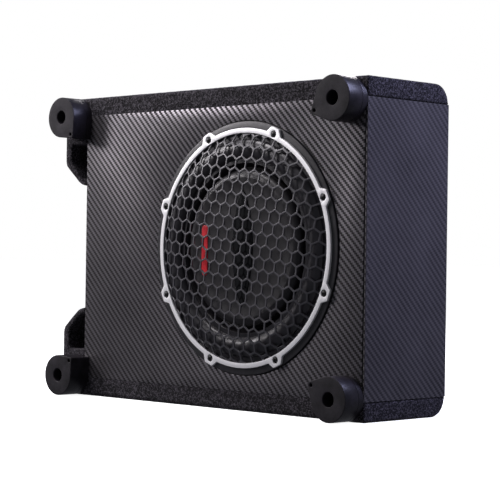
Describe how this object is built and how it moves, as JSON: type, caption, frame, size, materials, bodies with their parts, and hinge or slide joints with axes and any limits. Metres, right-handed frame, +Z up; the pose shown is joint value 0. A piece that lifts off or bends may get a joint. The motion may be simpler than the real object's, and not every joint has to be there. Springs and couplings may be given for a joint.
{
  "type": "powered car subwoofer",
  "caption": "Flat carpeted and carbon-look subwoofer box with a grilled driver, rubber feet, guard wings and a built-in side amplifier.",
  "frame": {"origin": "middle of the overall footprint, on the surface that the lower end panel stands on", "axes": "+Z up, -Y out of the driver, +X along the length from the amplifier end to the driver end"},
  "size_m": [0.467, 0.156, 0.343],
  "materials": {
    "fibreboard": "raw medium density fibreboard",
    "carbon_vinyl": "carbon twill look, semi gloss vinyl film",
    "carpet": "charcoal needle-punched box carpet",
    "foot_rubber": "matte moulded rubber",
    "dark_screw": "black zinc",
    "gasket_rubber": "satin grey-black rubber",
    "polished_aluminium": "polished",
    "black_steel": "black powder coat",
    "surround_rubber": "smooth satin rubber",
    "cone_plastic": "satin moulded polypropylene",
    "former_film": "amber polyimide film",
    "copper_wire": "enamelled copper windings",
    "spider_cloth": "resin-treated woven cotton",
    "plain_steel": "zinc plated",
    "ferrite": "ground ceramic ferrite",
    "connector_plastic": "moulded black nylon",
    "black_aluminium": "black anodised",
    "circuit_board": "green solder mask on glass epoxy",
    "black_plastic": "satin moulded plastic",
    "fuse_plastic": "clear amber nylon",
    "light_plastic": "clear lens"
  },
  "bodies": {
    "root": {"front_baffle": "fibreboard", "right_panel": "fibreboard", "back_panel": "fibreboard", "left_panel": "fibreboard", "vinyl_wrap": "carbon_vinyl", "lower_end_board": "fibreboard", "upper_end_board": "fibreboard", "lower_carpet": "carpet", "upper_carpet": "carpet", "lower_guard": "carpet", "upper_guard": "carpet", "lower_left_foot": "foot_rubber", "lower_right_foot": "foot_rubber", "upper_left_foot": "foot_rubber", "upper_right_foot": "foot_rubber", "lower_left_foot_screw": "dark_screw", "lower_right_foot_screw": "dark_screw", "upper_left_foot_screw": "dark_screw", "upper_right_foot_screw": "dark_screw", "mounting_gasket": "gasket_rubber", "trim_ring": "polished_aluminium", "grille_mesh": "black_steel", "trim_screw_1": "dark_screw", "trim_screw_2": "dark_screw", "trim_screw_3": "dark_screw", "trim_screw_4": "dark_screw", "trim_screw_5": "dark_screw", "trim_screw_6": "dark_screw", "trim_screw_7": "dark_screw", "trim_screw_8": "dark_screw", "driver_basket": "black_steel", "surround": "surround_rubber", "spider": "spider_cloth", "top_plate": "plain_steel", "ring_magnet": "ferrite", "back_plate_and_pole": "plain_steel", "driver_terminals": "connector_plastic", "amp_plate": "black_aluminium", "heatsink": "black_aluminium", "amp_screw_1": "dark_screw", "amp_screw_2": "dark_screw", "amp_screw_3": "dark_screw", "amp_screw_4": "dark_screw", "amp_housing": "plain_steel", "amp_board": "circuit_board", "power_transformer": "copper_wire", "filter_capacitor": "black_plastic", "rca_jacks": "connector_plastic", "highlevel_socket": "connector_plastic", "power_terminal_block": "connector_plastic", "blade_fuse": "fuse_plastic", "power_light": "light_plastic"},
    "cone_assembly": {"cone": "cone_plastic", "dust_cap": "cone_plastic", "voice_coil_former": "former_film", "voice_coil": "copper_wire"},
    "gain_knob": {"gain_knob": "black_plastic"},
    "lowpass_knob": {"lowpass_knob": "black_plastic"},
    "bass_boost_knob": {"bass_boost_knob": "black_plastic"},
    "phase_slider": {"phase_switch_slider": "black_plastic"}
  },
  "joints": [
    {"name": "cone_stroke", "type": "slide", "parent": "root", "child": "cone_assembly", "axis": [0, 1, 0], "range_m": [-0.005, 0.005], "stiffness_N_per_m": 3000, "deforming": ["surround", "spider"]},
    {"name": "gain_turn", "type": "hinge", "parent": "root", "child": "gain_knob", "pos_m": [-0.202, -0.016, 0.158], "axis": [-1, 0, 0], "range_deg": [-140, 140]},
    {"name": "lowpass_turn", "type": "hinge", "parent": "root", "child": "lowpass_knob", "pos_m": [-0.202, 0.004, 0.158], "axis": [-1, 0, 0], "range_deg": [-140, 140]},
    {"name": "bass_boost_turn", "type": "hinge", "parent": "root", "child": "bass_boost_knob", "pos_m": [-0.202, 0.024, 0.158], "axis": [-1, 0, 0], "range_deg": [-140, 140]},
    {"name": "phase_slide", "type": "slide", "parent": "root", "child": "phase_slider", "axis": [0, 1, 0], "range_m": [0, 0.004]}
  ]
}
